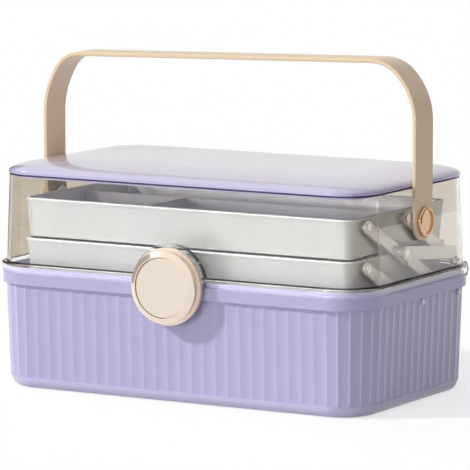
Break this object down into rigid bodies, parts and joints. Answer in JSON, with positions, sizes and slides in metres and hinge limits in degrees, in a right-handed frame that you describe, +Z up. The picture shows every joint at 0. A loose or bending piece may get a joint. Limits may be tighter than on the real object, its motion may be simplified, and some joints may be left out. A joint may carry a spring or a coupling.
{
  "type": "storage case",
  "caption": "Portable storage case with a fluted tub, clear hinged lid, strap handle, round push latch and two swing-up trays.",
  "frame": {"origin": "on the floor plane, under the middle of the case's overall box", "axes": "+Z up, -Y towards the latch at the front, +X to the right as seen from the front"},
  "size_m": [0.338, 0.2145, 0.2616],
  "materials": {
    "lavender_plastic": "satin gloss moulded, lavender",
    "clear_plastic": "clear moulded plastic, faint warm tint",
    "tray_plastic": "satin moulded, warm light grey",
    "arm_plastic": "satin moulded, light grey",
    "pin_plastic": "satin moulded, off-white",
    "strap": "smooth matt cream strap",
    "gold_metal": "polished pale gold",
    "latch_ring": "glossy rose beige, plated look",
    "latch_face": "satin cream",
    "latch_inner": "plain moulded",
    "steel": "plain bright steel"
  },
  "bodies": {
    "base": {"base_body": "lavender_plastic", "base_pivot_pins": "pin_plastic", "hinge_pins": "steel"},
    "lid": {"lid_shell": "clear_plastic", "lid_top_panel": "lavender_plastic", "handle_rivets": "gold_metal", "handle_rivet_nuts": "pin_plastic", "latch_housing": "latch_ring", "latch_screws": "steel", "latch_lever_pin": "steel", "latch_spring": "steel", "lid_link_pins": "pin_plastic"},
    "handle": {"handle_strap": "strap"},
    "button": {"latch_button": "latch_face"},
    "lever": {"latch_lever": "latch_inner"},
    "long_arm_left": {"long_arm_left": "arm_plastic", "link_pivot_pin_left": "pin_plastic"},
    "long_arm_right": {"long_arm_right": "arm_plastic", "link_pivot_pin_right": "pin_plastic"},
    "lower_arm_left": {"lower_arm_left": "arm_plastic"},
    "lower_arm_right": {"lower_arm_right": "arm_plastic"},
    "upper_arm_left": {"upper_arm_left": "arm_plastic"},
    "upper_arm_right": {"upper_arm_right": "arm_plastic"},
    "lid_link_left": {"lid_link_left": "arm_plastic"},
    "lid_link_right": {"lid_link_right": "arm_plastic"},
    "lower_tray": {"lower_tray": "tray_plastic", "lower_tray_pins": "pin_plastic"},
    "upper_tray": {"upper_tray": "tray_plastic", "upper_tray_pins": "pin_plastic", "upper_tray_long_divider": "tray_plastic", "upper_tray_cross_divider": "tray_plastic"}
  },
  "joints": [
    {"name": "lid_open", "type": "hinge", "parent": "base", "child": "lid", "pos_m": [0, 0.0985, 0.09], "axis": [-1, 0, 0], "range_deg": [0, 95]},
    {"name": "handle_swing", "type": "hinge", "parent": "lid", "child": "handle", "pos_m": [0, 0, 0.1395], "axis": [1, 0, 0], "range_deg": [-90, 90]},
    {"name": "button_press", "type": "slide", "parent": "lid", "child": "button", "axis": [0, 1, 0], "range_m": [0, 0.0012], "stiffness_N_per_m": 400, "springref_m": -0.002, "deforming": ["latch_spring"]},
    {"name": "lever_rock", "type": "hinge", "parent": "lid", "child": "lever", "pos_m": [0, -0.1027, 0.0905], "axis": [-1, 0, 0], "range_deg": [0, 7]},
    {"name": "long_arm_left_swing", "type": "hinge", "parent": "base", "child": "long_arm_left", "pos_m": [-0.148, 0.064, 0.0775], "axis": [-1, 0, 0], "range_deg": [0, 42.3]},
    {"name": "lower_arm_left_swing", "type": "hinge", "parent": "base", "child": "lower_arm_left", "pos_m": [-0.148, 0.004, 0.0775], "axis": [-1, 0, 0], "range_deg": [0, 42.3]},
    {"name": "lid_link_left_swing", "type": "hinge", "parent": "long_arm_left", "child": "lid_link_left", "pos_m": [-0.148, -0.009, 0.11582], "axis": [-1, 0, 0], "range_deg": [-25.7, 0]},
    {"name": "long_arm_right_swing", "type": "hinge", "parent": "base", "child": "long_arm_right", "pos_m": [0.148, 0.064, 0.0775], "axis": [-1, 0, 0], "range_deg": [0, 42.3]},
    {"name": "lower_arm_right_swing", "type": "hinge", "parent": "base", "child": "lower_arm_right", "pos_m": [0.148, 0.004, 0.0775], "axis": [-1, 0, 0], "range_deg": [0, 42.3]},
    {"name": "lid_link_right_swing", "type": "hinge", "parent": "long_arm_right", "child": "lid_link_right", "pos_m": [0.148, -0.009, 0.11582], "axis": [-1, 0, 0], "range_deg": [-25.7, 0]},
    {"name": "lower_tray_swing", "type": "hinge", "parent": "long_arm_left", "child": "lower_tray", "pos_m": [0, 0.004, 0.109], "axis": [-1, 0, 0], "range_deg": [-42.3, 0]},
    {"name": "upper_tray_swing", "type": "hinge", "parent": "long_arm_left", "child": "upper_tray", "pos_m": [0, -0.056, 0.1405], "axis": [-1, 0, 0], "range_deg": [-42.3, 0]},
    {"name": "upper_arm_left_swing", "type": "hinge", "parent": "lower_tray", "child": "upper_arm_left", "pos_m": [-0.148, 0.064, 0.109], "axis": [-1, 0, 0], "range_deg": [0, 42.3]},
    {"name": "upper_arm_right_swing", "type": "hinge", "parent": "lower_tray", "child": "upper_arm_right", "pos_m": [0.148, 0.064, 0.109], "axis": [-1, 0, 0], "range_deg": [0, 42.3]}
  ],
  "couplings": [
    {"joint": "lever_rock", "follows": "button_press", "rad_per_m": 90},
    {"joint": "long_arm_left_swing", "follows": "lid_open", "ratio": 0.435},
    {"joint": "lower_arm_left_swing", "follows": "lid_open", "ratio": 0.435},
    {"joint": "lid_link_left_swing", "follows": "lid_open", "ratio": -0.26},
    {"joint": "long_arm_right_swing", "follows": "lid_open", "ratio": 0.435},
    {"joint": "lower_arm_right_swing", "follows": "lid_open", "ratio": 0.435},
    {"joint": "lid_link_right_swing", "follows": "lid_open", "ratio": -0.26},
    {"joint": "lower_tray_swing", "follows": "lid_open", "ratio": -0.435},
    {"joint": "upper_tray_swing", "follows": "lid_open", "ratio": -0.435},
    {"joint": "upper_arm_left_swing", "follows": "lid_open", "ratio": 0.435},
    {"joint": "upper_arm_right_swing", "follows": "lid_open", "ratio": 0.435}
  ]
}
